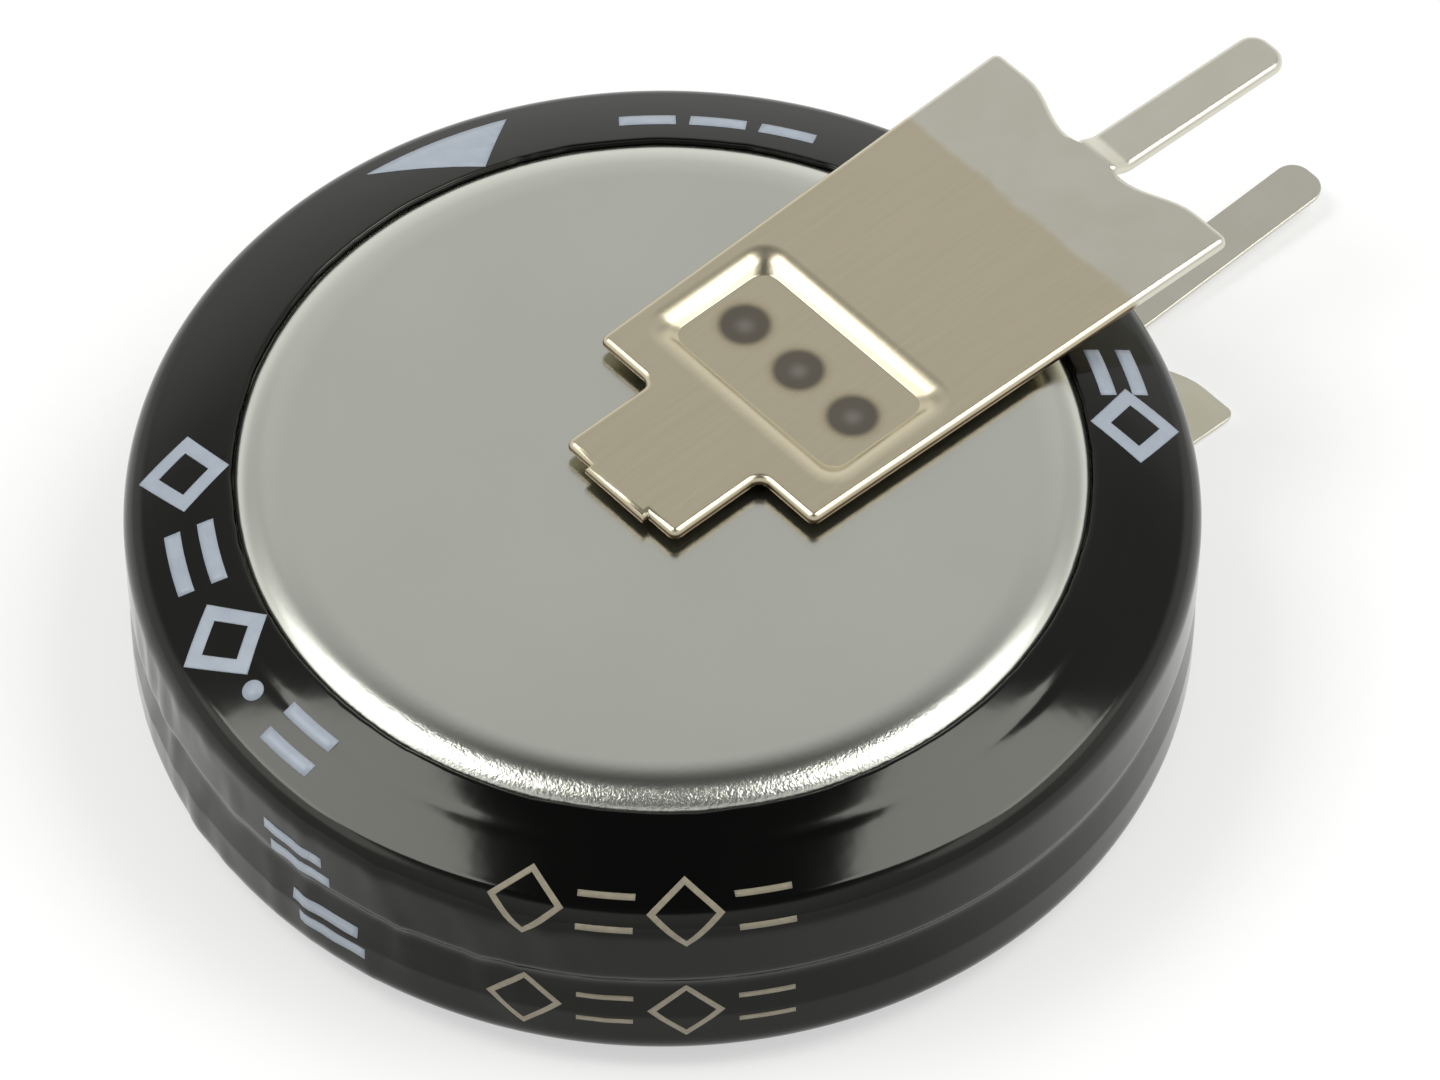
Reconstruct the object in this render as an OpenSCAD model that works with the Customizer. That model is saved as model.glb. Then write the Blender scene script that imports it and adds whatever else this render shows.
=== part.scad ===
// Stacked coin supercapacitor: two cells in series in a shrink sleeve, with a flat pin on each side.
// It lies on its lower terminal. Z is the axis of the disc and is 0 at the underside of that terminal,
// X points along the pins, and all sizes are in millimetres.

/* [Cells] */
// Outside diameter of each cell's case
case_d = 20.8; // [17:0.1:28]
// Height of one cell, from the flat bottom of its case to the flat top of its cap
cell_h = 2.55; // [2.3:0.05:3.6]
// Thickness of the steel sheet of the cases and caps
sheet_t = 0.25; // [0.15:0.05:0.3]
// Outside radius of the corner at the bottom of a case
bottom_r = 0.5; // [0.35:0.05:0.8]

/* [Crimp] */
// Width of the sloping shoulder, from the side of the case to the side of the cap
shoulder_w = 2; // [1.8:0.05:2.8]
// Slope of the crimped shoulder in degrees
shoulder_slope = 19; // [8:1:22]
// Drop from the flat top of the cap to the crimped edge of the case
crimp_drop = 0.5; // [0.5:0.05:0.8]
// Outside radius of the bend at the crimped corner
crimp_r = 0.45; // [0.35:0.05:0.6]
// Width of the gasket's lip between the crimped edge and the side of the cap
lip_w = 0.45; // [0.2:0.05:0.8]
// Thickness of the gasket around the cap's flange
gasket_t = 0.25; // [0.15:0.05:0.35]

/* [Cap] */
// Width of the rounded rim of the cap, seen from above
cap_rim_w = 0.85; // [0.4:0.05:1.2]
// Height of the rounded rim of the cap
cap_rim_h = 0.35; // [0.35:0.05:0.6]

/* [Electrodes] */
// Distance from the edge of an electrode to the flat of the cap's edge
electrode_inset = 0.1; // [0.05:0.05:1]
// Thickness of the separator between two electrodes
separator_t = 0.1; // [0.05:0.01:0.3]

/* [Sleeve] */
// Thickness of the shrunk sleeve
sleeve_t = 0.18; // [0.1:0.02:0.25]
// Gap between the rim of the sleeve and the side of the cap
sleeve_rim_gap = 0.03; // [0.03:0.01:0.2]
// How far the sleeve turns in under the upper case, in degrees
waist_turn = 50; // [20:1:60]
// Width of the fold under the lower case
fold_w = 1.3; // [0.6:0.1:3]

/* [Terminals] */
// Thickness of the terminal strip
plate_t = 0.2; // [0.15:0.05:0.3]
// Height of the strip above the cell, which is the depth of the pressed weld pad
standoff = 0.24; // [0.22:0.02:0.5]
// How far the centre line of the upper terminal lies beside the centre of the disc
upper_offset = 0.22; // [0:0.01:1]
// How far the centre line of the lower terminal lies beside the centre of the disc
lower_offset = 0.35; // [0:0.05:1]
// Width of the strip at its shoulders
heel_w = 6.25; // [5.6:0.05:8]
// Width of the strip at its outer end
end_w = 6.75; // [5.6:0.05:8]
// How far the upper strip reaches past the sleeve
upper_overhang = 1.35; // [0.9:0.05:3]
// How far the lower strip reaches past the sleeve
lower_overhang = 1.8; // [0.9:0.05:3]
// Width of the tab behind the shoulders
tab_w = 3.2; // [2:0.1:5]
// Length of the tab behind the shoulders
tab_l = 2.25; // [1:0.05:4]
// Width of the cut-off nib on the end of the tab
nib_w = 1.7; // [0.8:0.05:1.9]
// Length of the cut-off nib
nib_l = 0.15; // [0.05:0.05:0.4]
// Radius in the corner between tab and shoulder
tab_fillet = 0.22; // [0.1:0.02:0.5]

/* [Weld pad] */
// Distance from the disc's axis to the centre of the weld pad
pad_x = 3.4; // [2:0.1:4.5]
// Length of the pressed pad along the strip
pad_l = 3.1; // [2:0.05:4]
// Width of the pressed pad across the strip
pad_w = 5.3; // [3.4:0.05:5.4]
// Distance from the pad to the shoulders
pad_margin = 0.93; // [0.4:0.01:2]
// Corner radius of the pad's floor
pad_r = 0.4; // [0.2:0.05:0.6]
// Width of the pad's sloping wall
pad_draft = 0.28; // [0.1:0.02:0.4]
// Spacing of the weld spots
weld_pitch = 1.57; // [1.1:0.01:1.6]
// Diameter of a weld spot
weld_d = 0.95; // [0.5:0.05:1.05]
// Depth of a weld spot
weld_depth = 0.04; // [0.02:0.01:0.08]

/* [Pins] */
// Distance between the two pins at their tips, from centre to centre
pin_pitch = 5; // [4:0.1:5.4]
// Width of a pin
pin_w = 1.1; // [0.8:0.05:1.3]
// Length of the upper pin past the end of its strip
upper_pin_l = 4.55; // [3:0.05:8]
// Length of the lower pin past the end of its strip
lower_pin_l = 5.5; // [3:0.05:8]
// Corner radius of a pin's tip
pin_tip_r = 0.44; // [0.1:0.02:0.5]
// Depth of the curved ears beside the root of a pin
ear_depth = 0.47; // [0.3:0.01:0.8]
// Width of the flat end of each ear
ear_flat = 0.75; // [0.4:0.05:1.2]
// Width of the notch between a pin and its ears
notch_w = 0.22; // [0.1:0.02:0.4]
// Corner radius of the ears
ear_r = 0.2; // [0.05:0.05:0.3]
// Length of the bend at the root of a pin
bend_l = 0.55; // [0.4:0.05:1.2]
// How far the pins lean in towards each other, in degrees
pin_toe = 2.5; // [0:0.5:4]

/* [Hidden] */
$fn = 96;
// Gap between curved faces that fit together
fit = 0.02;
// Straight pieces in each rounded corner
steps = 8;

case_r = case_d / 2;
cap_r = case_r - shoulder_w;
mouth_r = cap_r + lip_w;
mouth_z = cell_h - crimp_drop;
flange_r = case_r - sheet_t - gasket_t;
// Centre of the bend at the crimped corner, which is tangent to the shoulder and to the side
bend_r = case_r - crimp_r;
bend_z = crimp_z(bend_r + crimp_r * sin(shoulder_slope), 0) - crimp_r * cos(shoulder_slope);
corner_r = case_r - bottom_r;
electrode_r = cap_r - cap_rim_w - electrode_inset;
electrode_t = (cell_h - 2 * sheet_t - separator_t) / 2;

sleeve_r = case_r + fit + sleeve_t;
sleeve_rim_r = cap_r + sleeve_rim_gap;

lower_z = plate_t + standoff;
upper_z = lower_z + cell_h;
stack_h = upper_z + cell_h + standoff + plate_t;

heel_x = pad_x - pad_l / 2 - pad_margin;
tab_x = heel_x - tab_l;
tip_drop = (stack_h - plate_t - pin_pitch) / 2;

// Height at radius r of a line that lies a given depth below the outside of the crimped shoulder
function crimp_z(r, depth) =
    mouth_z - (r - mouth_r) * tan(shoulder_slope) - depth / cos(shoulder_slope);

// Points on an elliptical arc about c, from angle a0 to angle a1
function arc(c, rx, rz, a0, a1) =
    [for (i = [0 : steps])
        let (a = a0 + (a1 - a0) * i / steps)
        [c[0] + rx * cos(a), c[1] + rz * sin(a)]];

function reversed(points) = [for (i = [len(points) - 1 : -1 : 0]) points[i]];

// Angle at which a line from p meets the circle of radius r about c
function tangent_angle(p, c, r) =
    atan2(p[1] - c[1], p[0] - c[0]) - acos(r / norm(p - c));

// Outline of the two stacked cells at a distance out, from the rim of the cap down to the fold
function sleeve_path(out) =
    let (waist_r = bottom_r + out,
         crease = [corner_r + waist_r * cos(waist_turn), upper_z + bottom_r - waist_r * sin(waist_turn)],
         lower_bend = [bend_r, lower_z + bend_z],
         flare = tangent_angle(crease, lower_bend, crimp_r + out))
    concat(
        [[sleeve_rim_r, upper_z + crimp_z(sleeve_rim_r, -out)]],
        arc([bend_r, upper_z + bend_z], crimp_r + out, crimp_r + out, 90 - shoulder_slope, 0),
        arc([corner_r, upper_z + bottom_r], waist_r, waist_r, 0, -waist_turn),
        arc(lower_bend, crimp_r + out, crimp_r + out, flare, 0),
        arc([corner_r, lower_z + bottom_r], waist_r, waist_r, 0, -90),
        [[corner_r - fold_w, lower_z - out]]);

case_profile = concat(
    [[0, 0]],
    arc([corner_r, bottom_r], bottom_r, bottom_r, -90, 0),
    arc([bend_r, bend_z], crimp_r, crimp_r, 0, 90 - shoulder_slope),
    [[mouth_r, crimp_z(mouth_r, 0)], [mouth_r, crimp_z(mouth_r, sheet_t)]],
    arc([bend_r, bend_z], crimp_r - sheet_t, crimp_r - sheet_t, 90 - shoulder_slope, 0),
    arc([corner_r, bottom_r], bottom_r - sheet_t, bottom_r - sheet_t, 0, -90),
    [[0, sheet_t]]);

// Depth of the flange's upper face below the outside of the shoulder
flange_depth = sheet_t + gasket_t;
cap_rim_c = [cap_r - cap_rim_w, cell_h - cap_rim_h];
cap_profile = concat(
    [[0, cell_h]],
    arc(cap_rim_c, cap_rim_w, cap_rim_h, 90, 0),
    [[cap_r, crimp_z(cap_r, flange_depth)],
     [flange_r, crimp_z(flange_r, flange_depth)],
     [flange_r, crimp_z(flange_r, flange_depth + sheet_t)],
     [cap_r - sheet_t, crimp_z(cap_r - sheet_t, flange_depth + sheet_t)]],
    arc(cap_rim_c, cap_rim_w - sheet_t, cap_rim_h - sheet_t, 0, 90),
    [[0, cell_h - sheet_t]]);

gasket_profile = concat(
    [[cap_r + fit, mouth_z], [mouth_r - fit, mouth_z],
     [mouth_r - fit, crimp_z(mouth_r - fit, sheet_t + fit)]],
    arc([bend_r, bend_z], crimp_r - sheet_t - fit, crimp_r - sheet_t - fit, 90 - shoulder_slope, 0),
    arc([corner_r, bottom_r], bottom_r - sheet_t - fit, bottom_r - sheet_t - fit, 0, -90),
    [[cap_r, sheet_t + fit],
     [cap_r, crimp_z(cap_r, flange_depth + sheet_t + fit)],
     [flange_r + fit, crimp_z(flange_r + fit, flange_depth + sheet_t + fit)],
     [flange_r + fit, crimp_z(flange_r + fit, flange_depth - fit)],
     [cap_r + fit, crimp_z(cap_r + fit, flange_depth - fit)]]);

// One side of a strip's outline, from the nib to the root of the pin
function strip_side(end_x) =
    let (root_y = pin_w / 2 + notch_w, ear_y = end_w / 2 - ear_r - ear_flat)
    concat(
        [[tab_x - nib_l, nib_w / 2], [tab_x, nib_w / 2], [tab_x, tab_w / 2]],
        arc([heel_x - tab_fillet, tab_w / 2 + tab_fillet], tab_fillet, tab_fillet, -90, 0),
        [[heel_x, heel_w / 2]],
        arc([end_x - ear_r, end_w / 2 - ear_r], ear_r, ear_r, 90, 0),
        [for (i = [0 : steps])
            [end_x - ear_depth * (1 - cos(180 * i / steps)) / 2, ear_y + (root_y - ear_y) * i / steps]]);

function strip_outline(end_x) =
    concat(strip_side(end_x), [for (p = reversed(strip_side(end_x))) [p[0], -p[1]]]);

// Outline of a pin from root_x, inside the strip, to its rounded tip
function pin_outline(root_x, tip_x) =
    let (c = [tip_x - pin_tip_r, pin_w / 2 - pin_tip_r])
    concat(
        [[root_x, -pin_w / 2]],
        arc([c[0], -c[1]], pin_tip_r, pin_tip_r, -90, 0),
        arc(c, pin_tip_r, pin_tip_r, 0, 90),
        [[root_x, pin_w / 2]]);

// Side view of a pin: flat in the strip, down an S bend, then leaning in to the tip
function pin_side(root_x, bend_x, tip_x) =
    let (root_drop = tip_drop - (tip_x - bend_x - bend_l) * tan(pin_toe),
         line = concat(
            [[root_x, 0]],
            [for (i = [0 : steps])
                [bend_x + bend_l * i / steps, -root_drop * (1 - cos(180 * i / steps)) / 2]],
            [[tip_x, -tip_drop]]))
    concat([for (p = line) [p[0], p[1] + plate_t]], reversed(line));

module pad_outline(grow) {
    offset(r = pad_r, $fn = 32)
        square([pad_l, pad_w] + 2 * (grow - pad_r) * [1, 1], center = true);
}

// The pressed pad below height z, with straight sides just above it
module pad(z) {
    over = plate_t / 2;
    translate([pad_x, 0, z])
        hull() {
            linear_extrude(over)
                pad_outline(0);
            translate([0, 0, -standoff])
                linear_extrude(over)
                    pad_outline(-pad_draft);
        }
}

module weld_spots() {
    for (i = [-1 : 1])
        translate([pad_x, i * weld_pitch, plate_t - standoff - weld_depth])
            cylinder(h = 2 * weld_depth, d1 = weld_d - 4 * weld_depth, d2 = weld_d + 4 * weld_depth);
}

module pin(end_x, tip_x) {
    bend_x = end_x - ear_depth;
    root_x = bend_x - bend_l;
    intersection() {
        translate([0, 0, -stack_h])
            linear_extrude(2 * stack_h)
                polygon(pin_outline(root_x, tip_x));
        rotate([90, 0, 0])
            linear_extrude(2 * pin_w, center = true)
                polygon(pin_side(root_x, bend_x, tip_x));
    }
}

// A terminal with the underside of its strip at height 0 and its weld pad pressed down
module terminal(overhang, pin_l, side_offset) {
    end_x = sleeve_r + overhang;
    translate([0, -side_offset, 0])
        difference() {
            union() {
                linear_extrude(plate_t)
                    polygon(strip_outline(end_x));
                pin(end_x, end_x + pin_l);
                pad(0);
            }
            pad(plate_t);
            weld_spots();
        }
}

module ring(profile, z) {
    translate([0, 0, z])
        rotate_extrude()
            polygon(profile);
}

module disc(r, z, t) {
    translate([0, 0, z])
        cylinder(h = t, r = r);
}

module cell_case(z) {
    color("#9c9d97") ring(case_profile, z);
}

module cell_cap(z) {
    color("#a9aaa3") ring(cap_profile, z);
}

module cell_gasket(z) {
    color("#d9d6c8") ring(gasket_profile, z);
}

module case_electrode(z) {
    color("#222222") disc(electrode_r, z + sheet_t, electrode_t);
}

module separator(z) {
    color("#efece2") disc(cap_r - sheet_t - fit, z + sheet_t + electrode_t, separator_t);
}

module cap_electrode(z) {
    color("#2b2b2b") disc(electrode_r, z + cell_h - sheet_t - electrode_t, electrode_t);
}

module sleeve() {
    color("#1e1d1b") ring(concat(sleeve_path(fit + sleeve_t), reversed(sleeve_path(fit))), 0);
}

module upper_terminal() {
    color("#a39c84")
        translate([0, 0, stack_h - plate_t])
            terminal(upper_overhang, upper_pin_l, upper_offset);
}

module lower_terminal() {
    color("#a39c84")
        translate([0, 0, plate_t])
            mirror([0, 0, 1])
                terminal(lower_overhang, lower_pin_l, lower_offset);
}

sleeve();
upper_terminal();
lower_terminal();
cell_cap(upper_z);  // upper_cap
cell_gasket(upper_z);  // upper_gasket
cell_case(upper_z);  // upper_case
cap_electrode(upper_z);  // upper_cap_electrode
separator(upper_z);  // upper_separator
case_electrode(upper_z);  // upper_case_electrode
cell_cap(lower_z);  // lower_cap
cell_gasket(lower_z);  // lower_gasket
cell_case(lower_z);  // lower_case
cap_electrode(lower_z);  // lower_cap_electrode
separator(lower_z);  // lower_separator
case_electrode(lower_z);  // lower_case_electrode
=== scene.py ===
# %% [markdown]
# A stacked coin supercapacitor: two steel coin cells lie on each other in a glossy black shrink sleeve,
# and a stamped strip with a flat pin is welded to each side. The CAD frame holds every piece at its real
# size. This lesson gives them their looks. It models again the four pieces whose edges and bends catch
# the light, keeps the solids that hide inside, and lights the part as a small product studio does.

# %% Load the frame
import math

import bmesh
import bpy
from mathutils import Matrix, Vector, noise


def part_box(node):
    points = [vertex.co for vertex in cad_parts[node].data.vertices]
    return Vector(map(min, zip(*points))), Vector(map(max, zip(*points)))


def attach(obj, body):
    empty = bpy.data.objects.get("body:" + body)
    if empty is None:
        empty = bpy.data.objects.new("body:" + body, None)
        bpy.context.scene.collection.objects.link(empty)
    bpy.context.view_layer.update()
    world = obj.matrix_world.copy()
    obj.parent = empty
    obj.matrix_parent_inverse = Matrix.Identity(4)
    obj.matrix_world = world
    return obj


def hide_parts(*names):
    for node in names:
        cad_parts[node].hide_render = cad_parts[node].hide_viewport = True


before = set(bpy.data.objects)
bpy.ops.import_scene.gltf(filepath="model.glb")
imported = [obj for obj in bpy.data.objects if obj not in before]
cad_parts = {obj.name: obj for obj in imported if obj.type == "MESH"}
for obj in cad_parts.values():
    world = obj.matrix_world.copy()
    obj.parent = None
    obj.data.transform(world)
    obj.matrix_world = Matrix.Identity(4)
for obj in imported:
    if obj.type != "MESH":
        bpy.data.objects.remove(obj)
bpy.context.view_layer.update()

MM = 0.001
print("CAD nodes:", sorted(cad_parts))

# %% [markdown]
# Blender works in metres, but some mesh operators treat points closer than a few hundredths of a
# millimetre as one. The part is small, so each new piece is modelled with one unit per millimetre and is
# shrunk to metres at the very end. The sizes that the frame knows are measured from its boxes, and only
# what a box can't tell is written as a number.

# %% Sizes in millimetres that the frame gives


def node_box(node):
    """Lowest and highest corner of a CAD node, in millimetres."""
    low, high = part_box(node)
    return low / MM, high / MM


film_r = node_box("sleeve")[1].x
case_r = node_box("upper_case")[1].x
flange_r = node_box("upper_cap")[1].x
cap_top = node_box("upper_cap")[1].z
upper_z = node_box("upper_case")[0].z
lower_z = node_box("lower_case")[0].z
cell_h = upper_z - lower_z
part_top = node_box("upper_terminal")[1].z
print(f"film radius {film_r:.2f}, case radius {case_r:.2f}, cell height {cell_h:.2f}, top {part_top:.2f} mm")

# %% [markdown]
# Every finish is a small node tree. One helper adds a node, sets its properties, and sets or links its
# inputs, so that a material reads from top to bottom like a recipe. Colours are written as sRGB hex
# values, as a picker shows them, and turned to linear light. A pattern's scale is worked out from the
# real size of its grain: the textures read Object coordinates, which are metres here. A Mix node has
# sockets of the same name for numbers and for colours, so its colour sockets are found by their number.

# %% Helpers for materials
COLOUR_A = 6
COLOUR_B = 7
COLOUR_OUT = 2


def linear(hex_colour):
    """Linear colour with alpha from an sRGB hex value."""
    channels = [int(hex_colour[i:i + 2], 16) / 255 for i in (1, 3, 5)]
    return [c / 12.92 if c <= 0.04045 else ((c + 0.055) / 1.055) ** 2.4 for c in channels] + [1]


def grain(size):
    """Texture scale whose features are about size millimetres."""
    return 1 / (size * MM)


def add_node(tree, kind, inputs=None, **settings):
    """Add a node. A value in inputs is a constant, or the output of another node to link from."""
    node = tree.nodes.new(kind)
    for name, value in settings.items():
        setattr(node, name, value)
    for name, value in (inputs or {}).items():
        if isinstance(value, bpy.types.NodeSocket):
            tree.links.new(value, node.inputs[name])
        else:
            node.inputs[name].default_value = value
    return node


def new_material(name):
    """An empty material with its tree, its Principled shader and the Object coordinates."""
    material = bpy.data.materials.new(name)
    material.use_nodes = True
    tree = material.node_tree
    shader = tree.nodes["Principled BSDF"]
    place = add_node(tree, "ShaderNodeTexCoord").outputs["Object"]
    return material, tree, shader, place


print("mid grey in linear light:", round(linear("#808080")[0], 3))

# %% [markdown]
# The sleeve is a tube of PVC film that was shrunk over the cells with hot air. Black pigment leaves almost
# no colour of its own, so what the eye sees is gloss: clear pictures of the lamps and of the white table,
# bent by a faint orange peel. The roughness stays low, and the film's refractive index sets how strong
# those pictures are. They are weaker on the side, most of all at the front, than on the shoulder. Two
# ranges say so: one runs towards the front, and one runs up from the side to the shoulder.

# %% Shrink film
# Level direction from the part's axis to the front of the photo.
front_way = (-0.667, -0.745, 0)
side_top_z = 4.3
shoulder_foot_z = 4.75
film, tree, shader, place = new_material("black_shrink_film")
shader.inputs["Base Color"].default_value = linear("#060606")
shader.inputs["Specular Tint"].default_value = linear("#FFFFF5")
shader.inputs["IOR"].default_value = 1.42
peel = add_node(tree, "ShaderNodeTexNoise", {"Vector": place, "Scale": grain(0.9), "Detail": 2.0})
peel_bump = add_node(tree, "ShaderNodeBump", {
    "Height": peel.outputs["Fac"], "Strength": 0.25, "Distance": 0.012 * MM})
haze = add_node(tree, "ShaderNodeTexNoise", {"Vector": place, "Scale": grain(2.5), "Detail": 3.0})
gloss = add_node(tree, "ShaderNodeMapRange", {"Value": haze.outputs["Fac"], "To Min": 0.07, "To Max": 0.13})
forward = add_node(tree, "ShaderNodeVectorMath", {0: place, 1: front_way}, operation="DOT_PRODUCT")
side_shine = add_node(tree, "ShaderNodeMapRange", {
    "Value": forward.outputs["Value"], "From Min": 5.0 * MM, "From Max": 9.5 * MM,
    "To Min": 0.65, "To Max": 0.23})
axes = add_node(tree, "ShaderNodeSeparateXYZ", {"Vector": place})
shine = add_node(tree, "ShaderNodeMapRange", {
    "Value": axes.outputs["Z"], "From Min": side_top_z * MM, "From Max": shoulder_foot_z * MM,
    "To Min": side_shine.outputs["Result"], "To Max": 0.5}, interpolation_type="SMOOTHSTEP")
tree.links.new(shine.outputs["Result"], shader.inputs["Specular IOR Level"])
tree.links.new(gloss.outputs["Result"], shader.inputs["Roughness"])
tree.links.new(peel_bump.outputs["Normal"], shader.inputs["Normal"])
print(f"{film.name}: {len(tree.nodes)} nodes")

# %% [markdown]
# The cells are drawn from nickel-plated steel sheet. The flat of the cap keeps the sheet's satin skin,
# which blurs what it mirrors into an even grey. The rim was drawn over the tool. Its inner part is smooth
# and mirrors a little more clearly. Its outer part was stretched: it is duller, and at the front it
# sparkles with a fine pebble. The distance from the axis tells the shader where each zone starts.

# %% Satin cell steel
shoulder_w = 2
cap_r = case_r - shoulder_w
cap_rim_w = 1.05
# How far inside the cap's edge each zone of the rim starts, and where it is full.
smooth_zone = (cap_rim_w, 0.8)
stretched_zone = (0.6, 0.35)
steel, tree, shader, place = new_material("satin_cell_steel")
shader.inputs["Metallic"].default_value = 1.0
flat_place = add_node(tree, "ShaderNodeVectorMath", {0: place, 1: (1, 1, 0)}, operation="MULTIPLY")
radius = add_node(tree, "ShaderNodeVectorMath", {0: flat_place.outputs["Vector"]}, operation="LENGTH")
smooth, stretched = [add_node(tree, "ShaderNodeMapRange", {
    "Value": radius.outputs["Value"], "From Min": (cap_r - start) * MM, "From Max": (cap_r - end) * MM},
    interpolation_type="SMOOTHSTEP").outputs["Result"] for start, end in (smooth_zone, stretched_zone)]
cloud = add_node(tree, "ShaderNodeTexNoise", {"Vector": place, "Scale": grain(4.0), "Detail": 3.0})
tone = add_node(tree, "ShaderNodeMix", {
    "Factor": cloud.outputs["Fac"], COLOUR_A: linear("#CCCDC3"), COLOUR_B: linear("#D4D5CB")},
    data_type="RGBA")
# The real satin grain is finer than a pixel, so it is drawn as coarse as it needs to show.
skin = add_node(tree, "ShaderNodeTexNoise", {"Vector": place, "Scale": grain(0.12), "Detail": 2.0})
skin_bump = add_node(tree, "ShaderNodeBump", {
    "Height": skin.outputs["Fac"], "Strength": 0.06, "Distance": 0.01 * MM})
satin = add_node(tree, "ShaderNodeMapRange", {"Value": skin.outputs["Fac"], "To Min": 0.17, "To Max": 0.22})
smooth_rim = add_node(tree, "ShaderNodeMix", {
    "Factor": smooth, "A": satin.outputs["Result"], "B": 0.15}, data_type="FLOAT")
worn_rim = add_node(tree, "ShaderNodeMix", {
    "Factor": stretched, "A": smooth_rim.outputs["Result"], "B": 0.26}, data_type="FLOAT")
tree.links.new(tone.outputs[COLOUR_OUT], shader.inputs["Base Color"])
tree.links.new(worn_rim.outputs["Result"], shader.inputs["Roughness"])
print(f"cap radius {cap_r:.2f} mm, rim {cap_rim_w} mm wide")

# %% Pebble on the front of the rim
forward = add_node(tree, "ShaderNodeVectorMath", {0: place, 1: front_way}, operation="DOT_PRODUCT")
at_front = add_node(tree, "ShaderNodeMapRange", {
    "Value": forward.outputs["Value"], "From Min": 4.5 * MM, "From Max": 7.5 * MM},
    interpolation_type="SMOOTHSTEP").outputs["Result"]
pebble = add_node(tree, "ShaderNodeTexNoise", {
    "Vector": place, "Scale": grain(0.08), "Detail": 2.0, "Roughness": 0.65}).outputs["Fac"]
for limit in (at_front, stretched):
    pebble = add_node(tree, "ShaderNodeMath", {0: pebble, 1: limit}, operation="MULTIPLY").outputs["Value"]
pebble_bump = add_node(tree, "ShaderNodeBump", {
    "Height": pebble, "Strength": 0.9, "Distance": 0.013 * MM, "Normal": skin_bump.outputs["Normal"]})
tree.links.new(pebble_bump.outputs["Normal"], shader.inputs["Normal"])
print(f"{steel.name}: {len(tree.nodes)} nodes")

# %% [markdown]
# The terminals are punched from rolled strip with a warm, champagne-coloured plating. A face that stands
# upright is a cut edge, so the surface's direction finds them. The cut edges are coloured dark brown: partly
# the bare metal that the punch leaves, partly painted shade of the dark gap under the strip. The end with
# the pin was then dipped in solder, which covers the edges too. It is cooler and paler than the plating and
# stops at a slightly wavy line.

# %% Plating, dark cut edges with painted shade, and the solder dip
dip_x = 9.35
dip_wave = 0.3
dip_start = 0.08
dip_full = 0.3


def strip_coat(tree, place, lines):
    """Colour of the strip before it is welded. The pattern of its rolling lines tints the plating."""
    plating = add_node(tree, "ShaderNodeMix", {
        "Factor": lines, COLOUR_A: linear("#C8BFA4"), COLOUR_B: linear("#D0C7AD")}, data_type="RGBA")
    facing = add_node(tree, "ShaderNodeTexCoord").outputs["Normal"]
    upward = add_node(tree, "ShaderNodeSeparateXYZ", {"Vector": facing})
    flatness = add_node(tree, "ShaderNodeMath", {0: upward.outputs["Z"]}, operation="ABSOLUTE")
    # Upright faces, the cut edges, turn dark brown: partly bare metal, partly painted shade of the gap under
    # the strip.
    cut_edge_and_shade = add_node(tree, "ShaderNodeMapRange", {
        "Value": flatness.outputs["Value"], "From Min": 0.25, "From Max": 0.5,
        "To Min": 1.0, "To Max": 0.0}, interpolation_type="SMOOTHSTEP")
    bare_and_shaded_edges = add_node(tree, "ShaderNodeMix", {
        "Factor": cut_edge_and_shade.outputs["Result"], COLOUR_A: plating.outputs[COLOUR_OUT],
        COLOUR_B: linear("#5A4A34")}, data_type="RGBA")
    blotch = add_node(tree, "ShaderNodeTexNoise", {"Vector": place, "Scale": grain(1.1), "Detail": 3.0})
    solder = add_node(tree, "ShaderNodeMix", {
        "Factor": blotch.outputs["Fac"], COLOUR_A: linear("#CFCCBB"), COLOUR_B: linear("#DBD9CC")},
        data_type="RGBA")
    axes = add_node(tree, "ShaderNodeSeparateXYZ", {"Vector": place})
    wave = add_node(tree, "ShaderNodeMath", {
        0: blotch.outputs["Fac"], 1: dip_wave * MM, 2: axes.outputs["X"]}, operation="MULTIPLY_ADD")
    dipped = add_node(tree, "ShaderNodeMapRange", {
        "Value": wave.outputs["Value"], "From Min": (dip_x + dip_start) * MM,
        "From Max": (dip_x + dip_full) * MM}, interpolation_type="SMOOTHSTEP")
    coat = add_node(tree, "ShaderNodeMix", {
        "Factor": dipped.outputs["Result"], COLOUR_A: bare_and_shaded_edges.outputs[COLOUR_OUT],
        COLOUR_B: solder.outputs[COLOUR_OUT]}, data_type="RGBA")
    return coat.outputs[COLOUR_OUT]


print("solder starts at x", dip_x, "mm")

# %% [markdown]
# On the pad, each weld left a dark spot of oxide with a pale nugget in its middle and a warm halo around
# it. The spots repeat along Y, so wrapping that coordinate lets one spot stand for all of them. What is
# left is the distance from the spot's middle, and each mark is a range of that distance.

# %% Weld spots
pad_x = 3.4
weld_pitch = 1.57
weld_row_l = 3 * weld_pitch
# Radius where each mark is full, radius where it has faded out, and its strength.
spot_edge = (0.43, 0.61, 1.0)
halo_edge = (0.43, 0.75, 0.4)
nugget_edge = (0.0, 0.3, 1.0)


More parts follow.
